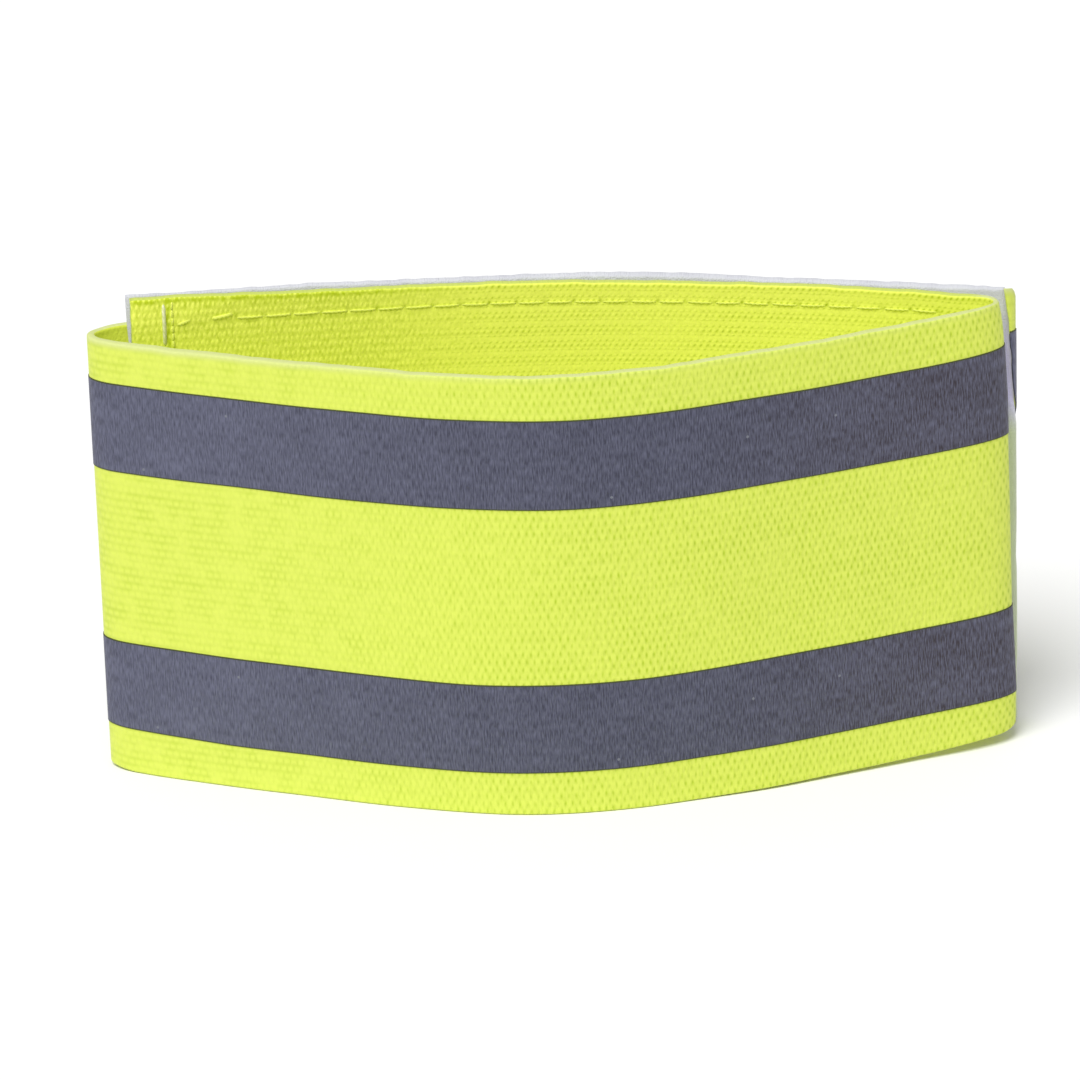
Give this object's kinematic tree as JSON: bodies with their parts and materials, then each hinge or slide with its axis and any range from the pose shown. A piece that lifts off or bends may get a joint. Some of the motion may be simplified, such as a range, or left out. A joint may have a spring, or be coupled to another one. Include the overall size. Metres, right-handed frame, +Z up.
{
  "type": "reflective armband",
  "caption": "Wide elastic webbing band wound into a flat standing loop, with reflective stripes outside and sewn hook and loop tapes that close it.",
  "frame": {"origin": "middle of the foot, on the surface the armband stands on", "axes": "+X along the length of the flat loop, towards the outer end of the band; +Y from the bowed front wall to the double back wall; +Z up, across the width of the webbing"},
  "size_m": [0.1004, 0.0296, 0.0538],
  "materials": {
    "webbing": "matte woven elastic",
    "film": "satin reflective film",
    "tape": "matte napped tape"
  },
  "bodies": {
    "root": {"elastic_band": "webbing", "reflective_stripe_lower": "film", "reflective_stripe_upper": "film", "loop_tape": "tape", "hook_tape": "tape"}
  },
  "joints": []
}
